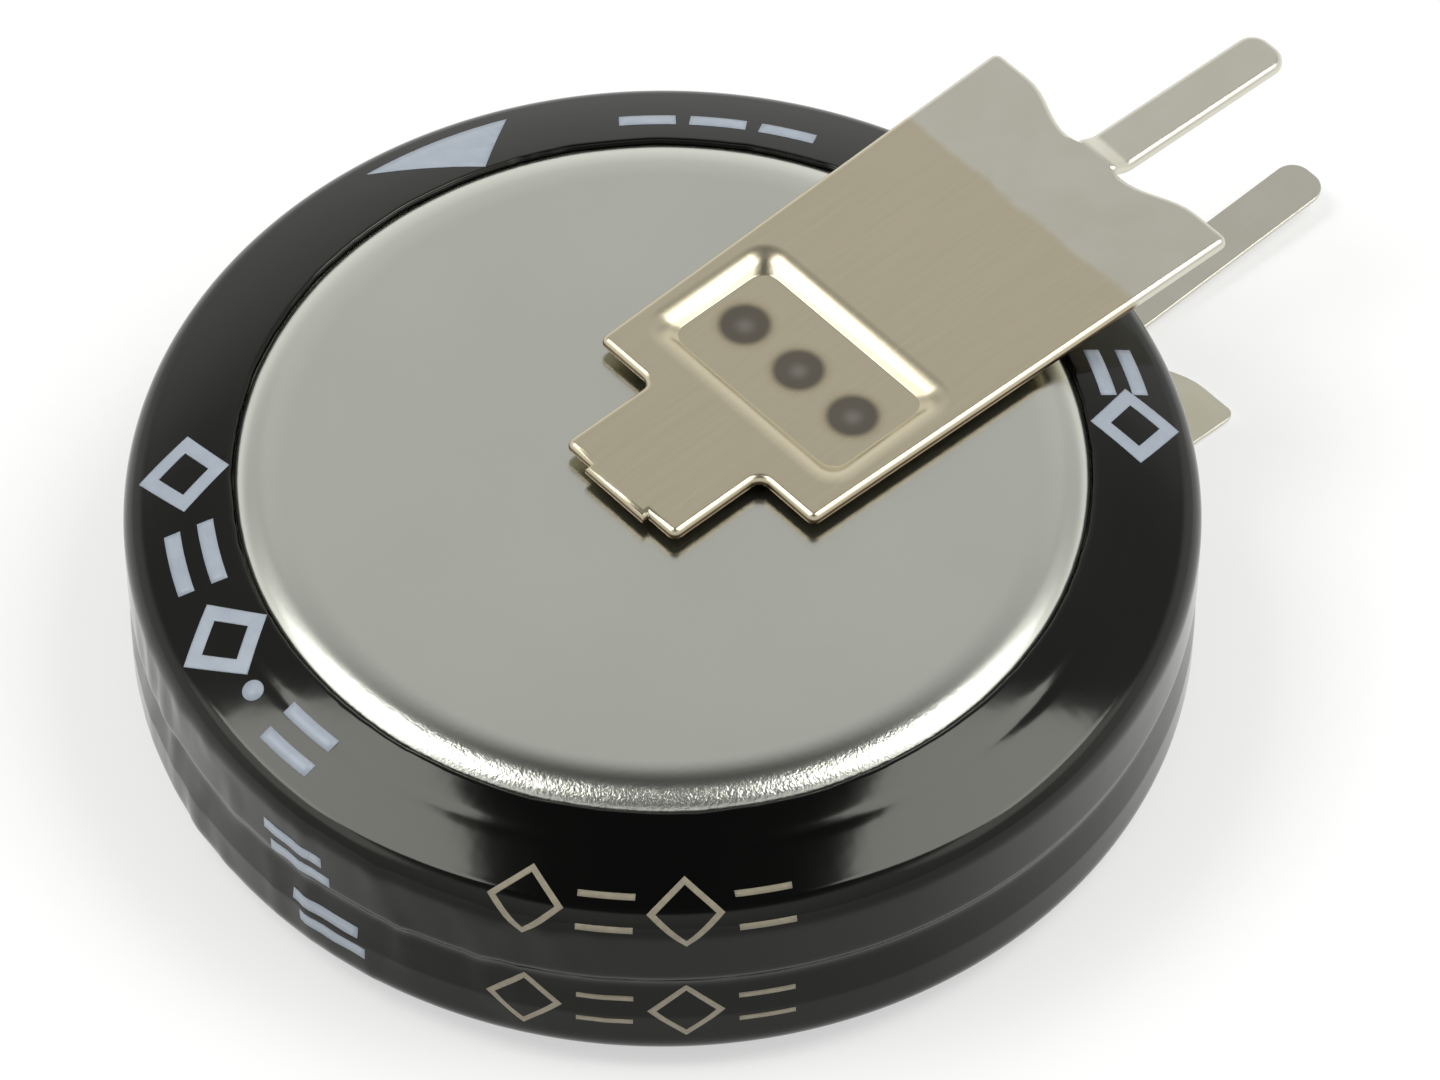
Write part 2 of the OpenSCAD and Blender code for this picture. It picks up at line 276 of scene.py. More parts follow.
def weld_marks(tree, place, strip_y):
    """Shares of the spot, the halo and the nugget at a place on a strip with its centre line at strip_y."""
    axes = add_node(tree, "ShaderNodeSeparateXYZ", {"Vector": place})
    along_row = add_node(tree, "ShaderNodeMath", {
        0: axes.outputs["Y"], 1: (strip_y + weld_pitch / 2) * MM, 2: (strip_y - weld_pitch / 2) * MM},
        operation="WRAP")
    spot_place = add_node(tree, "ShaderNodeCombineXYZ", {
        "X": axes.outputs["X"], "Y": along_row.outputs["Value"]})
    spot_far = add_node(tree, "ShaderNodeVectorMath", {
        0: spot_place.outputs["Vector"], 1: (pad_x * MM, strip_y * MM, 0)}, operation="DISTANCE")
    in_row = add_node(tree, "ShaderNodeMath", {
        0: axes.outputs["Y"], 1: strip_y * MM, 2: weld_row_l / 2 * MM}, operation="COMPARE")
    spot, halo, nugget = [add_node(tree, "ShaderNodeMapRange", {
        "Value": spot_far.outputs["Value"], "From Min": inner * MM, "From Max": outer * MM,
        "To Min": strength, "To Max": 0.0}, interpolation_type="SMOOTHSTEP").outputs["Result"]
        for inner, outer, strength in (spot_edge, halo_edge, nugget_edge)]
    spot, halo = [add_node(tree, "ShaderNodeMath", {0: mark, 1: in_row.outputs["Value"]},
                           operation="MULTIPLY").outputs["Value"] for mark in (spot, halo)]
    return spot, halo, nugget


print("weld spots every", weld_pitch, "mm at x", pad_x, "mm")

# %% [markdown]
# The whole strip is a metal with a soft sheen. Rolling leaves fine lines along it, which stretch a noise
# along X. The lines tint the plating, vary the sheen, and tilt the surface by a trace. Oxide is rougher
# than plating, so the weld spots add to the roughness.

# %% Rolled strip


def plated_strip(name, strip_y):
    """Rolled strip with its coat and its weld marks, for a strip with its centre line at strip_y."""
    material, tree, shader, place = new_material(name)
    shader.inputs["Metallic"].default_value = 1.0
    # Real rolling lines are finer than a pixel, so they are drawn as coarse as they need to show.
    rolled = add_node(tree, "ShaderNodeMapping", {"Vector": place, "Scale": (0.04, 1, 1)})
    lines = add_node(tree, "ShaderNodeTexNoise", {
        "Vector": rolled.outputs["Vector"], "Scale": grain(0.09), "Detail": 2.0}).outputs["Fac"]
    line_bump = add_node(tree, "ShaderNodeBump", {"Height": lines, "Strength": 0.03, "Distance": 0.01 * MM})
    coat = strip_coat(tree, place, lines)
    spot, halo, nugget = weld_marks(tree, place, strip_y)
    oxide = add_node(tree, "ShaderNodeMix", {
        "Factor": nugget, COLOUR_A: linear("#69645A"), COLOUR_B: linear("#827F77")}, data_type="RGBA")
    warmed = add_node(tree, "ShaderNodeMix", {
        "Factor": halo, COLOUR_A: coat, COLOUR_B: linear("#A08C6C")}, data_type="RGBA")
    burnt = add_node(tree, "ShaderNodeMix", {
        "Factor": spot, COLOUR_A: warmed.outputs[COLOUR_OUT], COLOUR_B: oxide.outputs[COLOUR_OUT]},
        data_type="RGBA")
    sheen = add_node(tree, "ShaderNodeMapRange", {"Value": lines, "To Min": 0.23, "To Max": 0.29})
    rough = add_node(tree, "ShaderNodeMath", {0: spot, 1: 0.2, 2: sheen.outputs["Result"]},
                     operation="MULTIPLY_ADD")
    tree.links.new(burnt.outputs[COLOUR_OUT], shader.inputs["Base Color"])
    tree.links.new(rough.outputs["Value"], shader.inputs["Roughness"])
    tree.links.new(line_bump.outputs["Normal"], shader.inputs["Normal"])
    print(f"{name}: {len(tree.nodes)} nodes")
    return material


# %% [markdown]
# The marks are screen printed in a pale, slightly blue white ink that lets a little of the black through.
# The batch marks are scribed by a laser: the film's surface turns to a dull beige line. The pieces inside
# the cells are a moulded polypropylene ring, pressed carbon and paper. All five are dull and even but for
# their grain, so one function makes them from two tones, a grain size and a roughness.

# %% Ink, laser lines and the inner materials


def grained_material(name, dark, light, grain_mm, roughness, bump_mm):
    """A plain material that varies between two colours with a grain of the given size."""
    material, tree, shader, place = new_material(name)
    spots = add_node(tree, "ShaderNodeTexNoise", {"Vector": place, "Scale": grain(grain_mm), "Detail": 4.0})
    tone = add_node(tree, "ShaderNodeMix", {
        "Factor": spots.outputs["Fac"], COLOUR_A: linear(dark), COLOUR_B: linear(light)}, data_type="RGBA")
    relief = add_node(tree, "ShaderNodeBump", {
        "Height": spots.outputs["Fac"], "Strength": 0.3, "Distance": bump_mm * MM})
    tree.links.new(tone.outputs[COLOUR_OUT], shader.inputs["Base Color"])
    tree.links.new(relief.outputs["Normal"], shader.inputs["Normal"])
    shader.inputs["Roughness"].default_value = roughness
    print(f"{name}: grain {grain_mm} mm")
    return material


ink = grained_material("white_screen_ink", "#8B949E", "#A1A9B3", 0.35, 0.4, 0.004)
scribe = grained_material("laser_scribed_film", "#6E6858", "#918975", 0.15, 0.4, 0.01)
gasket = grained_material("moulded_polypropylene", "#CFCBBB", "#E0DDCF", 0.6, 0.45, 0.01)
carbon = grained_material("pressed_carbon", "#161616", "#2C2C2C", 0.08, 0.85, 0.02)
paper = grained_material("cellulose_paper", "#E3DFD0", "#F2EFE4", 0.1, 0.9, 0.01)

# %% [markdown]
# Inside each cell lie two carbon discs with paper between them, and a ring that seals the cap in the case.
# Nobody sees them unless the part is cut open, so their CAD solids stay as they are and only get their
# materials. The cases stay too: the film covers them, all but the plain bottom of the lower one.

# %% Inner solids
finishes = {"cap": steel, "case": steel, "gasket": gasket, "cap_electrode": carbon,
            "case_electrode": carbon, "separator": paper}
for cell in ("upper", "lower"):
    for piece, material in finishes.items():
        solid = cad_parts[f"{cell}_{piece}"]
        solid.data.materials.clear()
        solid.data.materials.append(material)
print(2 * len(finishes), "solids of the cells have their materials")

# %% [markdown]
# The sleeve is round, so its section is drawn once and spun about Z. The section follows the two cells: a
# sloping shoulder where the case is crimped, the side, a crease where the film dips between the cells, the
# bulge of the lower cell and a fold under it. The crease is softened with a short curve, and the shoulder
# arches by a trace, because film under tension draws no sharp corner and no quite straight line.

# %% Section of the sleeve
film_fit = 0.02
film_t = film_r - case_r - film_fit
out = film_r - case_r
shoulder_fall = 19
slope = math.radians(shoulder_fall)
crimp_r = 0.45
bottom_r = 0.5
crimp_z = cell_h - 0.5
mouth_r = cap_r + 0.45
film_rim_r = cap_r + 0.03
waist_r = 0.4
waist_z = upper_z + 0.05
waist_turn = 50
fold_w = 1.3
arch = 0.025
soft = 0.25
soft_points = 5


def arc(centre, radii, start, end, steps):
    """Points on an arc about centre, from angle start to angle end in degrees."""
    angles = [math.radians(start + (end - start) * i / steps) for i in range(steps + 1)]
    return [Vector((centre[0] + radii[0] * math.cos(a), centre[1] + radii[1] * math.sin(a))) for a in angles]


def shoulder_z(r, depth):
    """Height above a cell's bottom at radius r, a given depth below the crimped shoulder."""
    return crimp_z - (r - mouth_r) * math.tan(slope) - depth / math.cos(slope)


bend_r = case_r - crimp_r
bend_z = shoulder_z(bend_r + crimp_r * math.sin(slope), 0) - crimp_r * math.cos(slope)
bend = (crimp_r + out, crimp_r + out)
shoulder_bend = arc((bend_r, upper_z + bend_z), bend, 90 - shoulder_fall, 0, 16)
rim_point = Vector((film_rim_r, upper_z + shoulder_z(film_rim_r, -out)))
shoulder = [rim_point.lerp(shoulder_bend[0], t) + Vector((0, 4 * arch * t * (1 - t)))
            for t in [i / 10 for i in range(10)]]
waist = arc((film_r - waist_r, waist_z), (waist_r, waist_r), 0, -waist_turn, 10)
crease = waist[-1]
lower_bend = Vector((bend_r, lower_z + bend_z))
to_crease = crease - lower_bend
flare = math.degrees(math.atan2(to_crease.y, to_crease.x) - math.acos(bend[0] / to_crease.length))
bulge = arc(lower_bend, bend, flare, 0, 8)
above = waist[-1 - soft_points]
below = crease + (bulge[0] - crease).normalized() * soft
soft_crease = [above * (1 - t) ** 2 + crease * 2 * t * (1 - t) + below * t ** 2
               for t in (0.15, 0.3, 0.5, 0.7, 0.85, 1)]
corner_r = case_r - bottom_r
corner = (bottom_r + out, bottom_r + out)
film_section = (shoulder + shoulder_bend + waist[:-soft_points] + soft_crease + bulge
                + arc((corner_r, lower_z + bottom_r), corner, 0, -90, 10)
                + [Vector((corner_r - fold_w, lower_z - out))])
print(f"sleeve section: {len(film_section)} points, crease at radius {crease.x:.2f} mm")

# %% [markdown]
# A perfect turned shape would look like plastic from a lathe. Hot air leaves the film's cut edge uneven,
# the left side keeps a few slack ripples, and at the front the crimped edge below shows through as a faint
# groove. Each is a small function of the place: a noise, faded in where the film does this. Blender's own
# noise is the same in every run, and a number in its third coordinate picks another part of it.

# %% How the film departs from a turned shape
ripple_depth = 0.1
ripple_w = 0.55
ripple_h = 2.2
wave_depth = 0.012
groove_depth = 0.02
groove_w = 0.09
groove_r = cap_r + 0.75


def fade(x, low, high):
    """Smooth step from 0 at low to 1 at high."""
    t = min(max((x - low) / (high - low), 0), 1)
    return t * t * (3 - 2 * t)


def slack(point):
    """How far the film stands off the cells: upright ripples at the left, and a faint wave all round."""
    azimuth = math.degrees(math.atan2(point.y, point.x)) % 360
    on_side = fade(point.z, 0.4, 1.1) * (1 - fade(point.z, 4.0, 4.6))
    at_left = fade(azimuth, 140, 170) * (1 - fade(azimuth, 205, 230))
    ripple = noise.noise((point.x / ripple_w, point.y / ripple_w, point.z / ripple_h))
    wave = noise.noise((point.x / 3, point.y / 3, point.z / 2 + 9))
    return on_side * (ripple_depth * at_left * max(ripple, 0) + wave_depth * max(wave, 0))


def ragged(point):
    """How far the cut edge of the film has drawn back at this point, in slow and quick waves."""
    slow = noise.noise((point.x / 1.2, point.y / 1.2, 3))
    quick = noise.noise((point.x / 0.3, point.y / 0.3, 6))
    return 0.01 + 0.04 * max(slow, 0) + 0.03 * max(quick, 0)


def groove(point):
    """Depth of the faint groove on the shoulder, where the crimped edge below shows through the film."""
    r = math.hypot(point.x, point.y)
    share = 0.6 + 0.8 * noise.noise((point.x / 3, point.y / 3, 12))
    share *= fade(front_way[0] * point.x + front_way[1] * point.y, 0, 5)
    return groove_depth * max(share, 0) * math.exp(-((r - groove_r) / groove_w) ** 2)


print(f"groove at radius {groove_r:.2f} mm, ripples up to {ripple_depth} mm")

# %% [markdown]
# Spinning gives only the outside. Long edges of the section are divided first, so that the mesh has points
# enough to move. Spin can turn a shape inside out, so its doubles are merged and its normals recalculated.
# Then the points are pushed about, before the film gets its thickness.

# %% Spin the sleeve


def spin_section(section, steps, longest):
    """A surface of revolution about Z from a section in radius and height, with no edge of it too long."""
    bm = bmesh.new()
    verts = [bm.verts.new((r, 0, z)) for r, z in section]
    for edge in [bm.edges.new(pair) for pair in zip(verts, verts[1:])]:
        cuts = int(edge.calc_length() / longest)
        if cuts:
            bmesh.ops.subdivide_edges(bm, edges=[edge], cuts=cuts)
    bmesh.ops.spin(bm, geom=bm.verts[:] + bm.edges[:], cent=(0, 0, 0), axis=(0, 0, 1), angle=math.tau,
                   steps=steps, use_merge=True)
    bmesh.ops.remove_doubles(bm, verts=bm.verts, dist=0.0005)
    bmesh.ops.recalc_face_normals(bm, faces=bm.faces)
    return bm


bm = spin_section(film_section, 360, 0.12)
print("sleeve outside:", len(bm.faces), "faces, normals out:", bm.faces[:][0].normal.z > 0)

# %% Let the film go slack
drawn_w = 0.4
for v in bm.verts:
    around = Vector((v.co.x, v.co.y, 0))
    push = slack(v.co)
    if v.co.z > upper_z:
        drawn = ragged(v.co) * (1 - fade(around.length, film_rim_r, film_rim_r + drawn_w))
        v.co.z -= drawn * math.tan(slope) + groove(v.co)
        push += drawn
    v.co += around.normalized() * push
print(f"widest radius of the film: {max(math.hypot(v.co.x, v.co.y) for v in bm.verts):.3f} mm")

# %% [markdown]
# Solidify gives the film its thickness, and a bevel rounds its cut edges. Each piece ends alike: its mesh is
# shrunk to metres and gets its material, the piece rides on the part's body, and the CAD node that it stands
# in for is hidden. So the last helper does that for all of them.

# %% Thicken the film and add it to the part
film_edge_r = 0.05


def round_edges(bm, edges, radius, segments, clamp=True):
    """Bevel edges to a round of about the given radius."""
    bmesh.ops.bevel(bm, geom=edges, offset=radius, offset_type="OFFSET", segments=segments, profile=0.5,
                    affect="EDGES", material=-1, clamp_overlap=clamp)


def sharp_edges(bm):
    """Edges whose two faces meet at more than a gentle bend."""
    return [e for e in bm.edges if e.calc_face_angle() > math.radians(50)]


def make_piece(name, bm, material, node=None):
    """Shrink a bmesh from millimetres to metres and make it a piece that rides on the part."""
    volume = bm.calc_volume()
    bmesh.ops.scale(bm, vec=(MM, MM, MM), verts=bm.verts)
    mesh = bpy.data.meshes.new(name)
    bm.to_mesh(mesh)
    bm.free()
    mesh.shade_smooth()
    mesh.materials.append(material)
    piece = bpy.data.objects.new(name, mesh)
    bpy.context.scene.collection.objects.link(piece)
    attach(piece, "root")
    if node:
        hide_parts(node)
    print(f"{name}: {len(mesh.polygons)} faces, {volume:.2f} mm3")
    return piece


bmesh.ops.solidify(bm, geom=bm.faces[:], thickness=film_t)
round_edges(bm, sharp_edges(bm), film_edge_r, 3)
make_piece("sleeve_film", bm, film, "sleeve")

# %% [markdown]
# The print on the film is generic: a wedge and bars for polarity, diamonds and a dot, and two rows of thin
# scribed shapes where a batch mark goes. Each shape is made flat with an operator, and then every point is
# bent onto the film: x runs round the part, and y runs along the section up to the rim. The marks follow
# the ripples too, because the same slack is added to them.

# %% Bend flat shapes onto the film
ink_lift = 0.01
film_along = [0]
for start, end in zip(film_section, film_section[1:]):
    film_along.append(film_along[-1] + (end - start).length)


def on_film(flat, azimuth, along):
    """Where a flat point comes to lie on a mark whose middle is at azimuth, along mm from the rim."""
    down = along - flat.y
    i = max(k for k, length in enumerate(film_along[:-1]) if length <= down)
    start, end = film_section[i], film_section[i + 1]
    run = (end - start).normalized()
    spot = start + run * (down - film_along[i]) + Vector((-run.y, run.x)) * ink_lift
    turn = math.radians(azimuth) + flat.x / spot.x
    point = Vector((spot.x * math.cos(turn), spot.x * math.sin(turn), spot.y))
    return point + Vector((math.cos(turn), math.sin(turn), 0)) * slack(point)


def lay(marks, flat, azimuth, along):
    """Bend a flat shape onto the film and add it to the mesh of its marks."""
    for v in flat.verts:
        v.co = on_film(v.co, azimuth, along)
    mesh = bpy.data.meshes.new("mark")
    flat.to_mesh(mesh)
    flat.free()
    marks.from_mesh(mesh)
    bpy.data.meshes.remove(mesh)


print(f"the film runs {film_along[-1]:.1f} mm from its rim to its fold")

# %% [markdown]
# A flat face can't bend, so each shape is cut into small pieces: a grid for a bar, a divided ring for a
# diamond, a fan for a dot, and plane cuts for the wedge. Circle and inset may leave a face looking down,
# and a mark would then get its thickness on the wrong side, so such a shape is turned over.

# %% Flat shapes
bar_cell = 0.15
wedge_cell = 0.2


def face_up(flat):
    """Turn a flat shape over if its faces look down."""
    if flat.faces[:][0].normal.z < 0:
        bmesh.ops.reverse_faces(flat, faces=flat.faces)


def bar(width, height):
    """A flat bar, cut finely enough to bend."""
    flat = bmesh.new()
    bmesh.ops.create_grid(flat, x_segments=math.ceil(width / bar_cell),
                          y_segments=math.ceil(height / bar_cell), size=0.5)
    bmesh.ops.scale(flat, vec=(width, height, 1), verts=flat.verts)
    return flat


def diamond(radius, stroke):
    """The flat outline of a diamond: a disc of four sides, inset by the stroke, without its middle."""
    flat = bmesh.new()
    bmesh.ops.create_circle(flat, cap_ends=True, segments=4, radius=radius)
    rim_faces = bmesh.ops.inset_individual(flat, faces=flat.faces[:], thickness=stroke,
                                           use_even_offset=True)["faces"]
    bmesh.ops.delete(flat, geom=[f for f in flat.faces if f not in rim_faces], context="FACES")
    bmesh.ops.subdivide_edges(flat, edges=flat.edges[:], cuts=5, use_grid_fill=True)
    face_up(flat)
    return flat


def dot(radius):
    """A flat disc of triangles."""
    flat = bmesh.new()
    bmesh.ops.create_circle(flat, cap_ends=True, cap_tris=True, segments=24, radius=radius)
    face_up(flat)
    return flat


def wedge(width, height, tip):
    """A flat triangle that hangs from its long side, with its tip at x, cut into small pieces."""
    flat = bmesh.new()
    flat.faces.new([flat.verts.new(p) for p in ((-width / 2, -height / 2, 0), (width / 2, -height / 2, 0),
                                                (tip, height / 2, 0))])
    for axis, size in ((0, width), (1, height)):
        cells = math.ceil(size / wedge_cell)
        for i in range(1, cells):
            cut = Vector((0, 0, 0))
            cut[axis] = size * (i / cells - 0.5)
            bmesh.ops.bisect_plane(flat, geom=flat.verts[:] + flat.edges[:] + flat.faces[:], dist=0.0005,
                                   plane_co=cut, plane_no=Vector((1 - axis, axis, 0)))
    return flat


print("flat shapes are cut every", bar_cell, "to", wedge_cell, "mm")

# %% [markdown]
# Each mark has its place in degrees round the part and in millimetres from the film's rim. All shapes of
# one ink are laid into one mesh, which then gets the thickness of a printed layer.

# %% Print the ink marks
ink_t = 0.015
bar_h = 0.34
side_bar_h = 0.3
big_diamond = (0.95, 0.3)
pair_along = (0.6, 1.3)
ink_marks = bmesh.new()
lay(ink_marks, wedge(3.2, 1.5, -0.45), 75.9, 0.83)
for azimuth in (50, 41, 32):
    lay(ink_marks, bar(1.15, bar_h), azimuth, 0.75)
for azimuth in (138, 164):
    lay(ink_marks, diamond(*big_diamond), azimuth, 1.0)
for along in pair_along:
    lay(ink_marks, bar(1.5, bar_h), 151, along)
lay(ink_marks, dot(0.22), 172, 1.1)
for width, azimuth, along in ((1.3, 181, 0.8), (1.3, 181, 1.45), (1.5, 186, 3.2), (1.5, 187, 3.7),
                              (1.6, 190, 4.9), (1.6, 191, 5.4)):
    lay(ink_marks, bar(width, side_bar_h), azimuth, along)
lay(ink_marks, diamond(*big_diamond), 325.5, 1.0)
for along in pair_along:
    lay(ink_marks, bar(1.2, bar_h), 334, along)
bmesh.ops.solidify(ink_marks, geom=ink_marks.faces[:], thickness=ink_t)
make_piece("ink_marks", ink_marks, ink)

# %% Scribe the batch marks
thin_diamond = (0.75, 0.12)
thin_bar = (1.1, 0.13)
batch_rows = (2.05, 4.98)
bar_step = 0.33
batch_marks = bmesh.new()
for along in batch_rows:
    for azimuth in (213.5, 230.5):
        lay(batch_marks, diamond(*thin_diamond), azimuth, along)
    for azimuth in (222, 239):
        for step in (-bar_step, bar_step):
            lay(batch_marks, bar(*thin_bar), azimuth, along + step)
bmesh.ops.solidify(batch_marks, geom=batch_marks.faces[:], thickness=ink_t)
make_piece("batch_marks", batch_marks, scribe)

# %% [markdown]
# The cap of the upper cell is a shallow cup turned upside down: a flat with a softly rounded rim, a short
# side and the flange that the gasket grips. It is spun like the sleeve, with the rim as a quarter of an
# ellipse, because the sheet thins there and the bend is wider than it is high.

# %% Cap of the upper cell
sheet_t = 0.25
gasket_t = 0.25
cap_rim_h = 0.35
flange_depth = sheet_t + gasket_t
cap_section = ([Vector((0, cap_top))]
               + arc((cap_r - cap_rim_w, cap_top - cap_rim_h), (cap_rim_w, cap_rim_h), 90, 0, 24)
               + [Vector((r, upper_z + shoulder_z(r, flange_depth))) for r in (cap_r, flange_r)])
bm = spin_section(cap_section, 360, 1.5)
bmesh.ops.solidify(bm, geom=bm.faces[:], thickness=sheet_t)
make_piece("upper_cap_shell", bm, steel, "upper_cap")

# %% [markdown]
# A terminal starts as a flat outline: a tab with a small nib at its tail, the broad strip, a wavy end with
# two ears, and the pin between them. Both sides are alike, so one is drawn and the other is its mirror
# image. Round stretches are arcs. The pin's side has a row of points where the sheet will bend.

# %% Outline of a terminal
heel_w = 6.25
end_w = 6.75
tab_w = 3.2
tab_l = 2.25
nib_w = 1.7
nib_l = 0.15
tab_fillet = 0.22
blunt_r = 0.18
pad_l = 3.1
pad_w = 5.3
pad_margin = 0.93
pad_r = 0.4
pin_w = 1.1
pin_tip_r = 0.44
ear_depth = 0.47
ear_flat = 0.75
ear_r = 0.2
notch_w = 0.22
bend_l = 0.55
bend_steps = 10
heel_x = pad_x - pad_l / 2 - pad_margin
tab_x = heel_x - tab_l


def half_outline(end_x, tip_x):
    """One side of a terminal's outline, from the nib at its tail to the tip of its pin."""
    root_y = pin_w / 2 + notch_w
    ear_y = end_w / 2 - ear_r - ear_flat
    ear = [Vector((end_x - ear_depth * (1 - math.cos(math.pi * t)) / 2, ear_y + (root_y - ear_y) * t))
           for t in [i / 8 for i in range(9)]]
    pin_root = [Vector((end_x - ear_depth + bend_l * i / bend_steps, pin_w / 2))
                for i in range(bend_steps + 1)]
    blunt = (blunt_r, blunt_r)
    return ([Vector((tab_x - nib_l, nib_w / 2)), Vector((tab_x, nib_w / 2))]
            + arc((tab_x + blunt_r, tab_w / 2 - blunt_r), blunt, 180, 90, 4)
            + arc((heel_x - tab_fillet, tab_w / 2 + tab_fillet), (tab_fillet, tab_fillet), -90, 0, 6)
            + arc((heel_x + blunt_r, heel_w / 2 - blunt_r), blunt, 180, 90, 4)
            + arc((end_x - ear_r, end_w / 2 - ear_r), (ear_r, ear_r), 90, 0, 6)
            + ear + pin_root
            + arc((tip_x - pin_tip_r, pin_w / 2 - pin_tip_r), (pin_tip_r, pin_tip_r), 90, 0, 10))


def pad_outline():
    """The rounded outline of the weld pad."""
    points = []
    for sx, sy, start in ((1, 1, 0), (-1, 1, 90), (-1, -1, 180), (1, -1, 270)):
        centre = (pad_x + sx * (pad_l / 2 - pad_r), sy * (pad_w / 2 - pad_r))
        points += arc(centre, (pad_r, pad_r), start, start + 90, 6)
    return points


print(f"terminal: heel at x {heel_x:.2f}, tail at x {tab_x - nib_l:.2f} mm")

# %% [markdown]
# Triangle Fill closes the area between the outline and the hole for the pad. The hole's edge is then
# extruded down and in, as the press tool does it, and the floor is filled again around the rings of the
# weld spots. Each ring is extruded twice, down and inwards, to make a shallow crater. At last the two
# bends of the pad are rounded: the lower one tightly, the upper one more softly.

# %% Press the weld pad
plate_t = 0.2
standoff = lower_z - plate_t
pad_draft = 0.28
pad_bend = 0.24
floor_bend = 0.1
weld_d = 0.95
weld_depth = 0.04
# Share of the weld's radius and of its depth, at each step down into a crater.
crater_steps = ((0.6, 1.0), (0.3, 0.85))


def add_loop(bm, points):
    """Add a closed loop of edges at height 0."""
    verts = [bm.verts.new((p[0], p[1], 0)) for p in points]
    return [bm.edges.new(pair) for pair in zip(verts, verts[1:] + verts[:1])]


def fill_between(bm, edges):
    """Fill the area between nested loops with triangles that face up."""
    bmesh.ops.triangle_fill(bm, edges=edges, use_beauty=True, use_dissolve=False, normal=(0, 0, 1))


def press_crater(bm, ring, centre_y):
    """Sink a ring of edges to a shallow crater in the pad's floor."""
    for share, depth in crater_steps:
        made = bmesh.ops.extrude_edge_only(bm, edges=ring)["geom"]
        verts = [g for g in made if isinstance(g, bmesh.types.BMVert)]
        ring = [g for g in made if isinstance(g, bmesh.types.BMEdge) and all(v in verts for v in g.verts)]
        for v in verts:
            away = Vector((v.co.x - pad_x, v.co.y - centre_y)).normalized() * share * weld_d / 2
            v.co = Vector((pad_x + away.x, centre_y + away.y, -standoff - depth * weld_depth))
    bmesh.ops.contextual_create(bm, geom=ring)


def terminal_sheet(end_x, tip_x):
    """Flat top surface of a terminal with its pressed pad and weld craters, at height 0."""
    bm = bmesh.new()
    side = half_outline(end_x, tip_x)
    outline = add_loop(bm, side + [Vector((p.x, -p.y)) for p in reversed(side)])
    pad = add_loop(bm, pad_outline())
    fill_between(bm, outline + pad)

    pressed = bmesh.ops.extrude_edge_only(bm, edges=pad)["geom"]
    for v in [g for g in pressed if isinstance(g, bmesh.types.BMVert)]:
        v.co += Vector((math.copysign(pad_draft, pad_x - v.co.x), math.copysign(pad_draft, -v.co.y),
                        -standoff))
    floor = [g for g in pressed if isinstance(g, bmesh.types.BMEdge) and all(v.co.z < 0 for v in g.verts)]
    craters = {}
    for i in (-1, 0, 1):
        place = Matrix.Translation((pad_x, i * weld_pitch, -standoff))
        ring = bmesh.ops.create_circle(bm, segments=32, radius=weld_d / 2, matrix=place)["verts"]
        # A dict drops repeated edges but keeps their order, so that each run fills the pad alike.
        craters[i * weld_pitch] = list(dict.fromkeys(e for v in ring for e in v.link_edges))
    fill_between(bm, floor + [e for ring in craters.values() for e in ring])
    for centre_y, ring in craters.items():
        press_crater(bm, ring, centre_y)
    round_edges(bm, floor, floor_bend, 6)
    round_edges(bm, pad, pad_bend, 6)
    return bm


print(f"the pad is pressed {standoff:.2f} mm deep")

# %% [markdown]
# The pin leaves the strip in a small S bend and leans slightly towards the other pin, so that both tips
# come to the pitch of the holes in a board. Its points are lowered along that curve. Triangles that lie in
# one plane are dissolved, because a bevel slides along them badly, and in an order by place, so that each
# run makes the same mesh. Solidify then adds the sheet's thickness. Stamping draws the upper edges round
# and leaves the lower ones almost sharp. So the upper edges get a wide bevel, which draws the bright lines
# around a stamped part, and the others a fine one.

# %% Bend the pin, thicken the sheet and round its edges
edge_r = 0.15
burr_r = 0.015
pin_toe = math.radians(2.5)
pin_pitch = 5
looks_up = 0.5
pin_length = {"upper_terminal": 4.55, "lower_terminal": 5.5}
tip_drop = (part_top - plate_t - pin_pitch) / 2


def pin_drop(x, end_x, tip_x):
    """How far the pin lies below the strip at x: an S bend, then a slight lean towards the other pin."""
    bend_x = end_x - ear_depth
    lean = tip_x - bend_x - bend_l
    root_drop = tip_drop - lean * math.tan(pin_toe)
    turn = min(max((x - bend_x) / bend_l, 0), 1)
    past = max(x - bend_x - bend_l, 0) / lean
    return root_drop * (1 - math.cos(math.pi * turn)) / 2 + (tip_drop - root_drop) * past


def by_place(vert):
    """A vertex's place, to sort by."""
    return [round(x, 4) for x in vert.co]


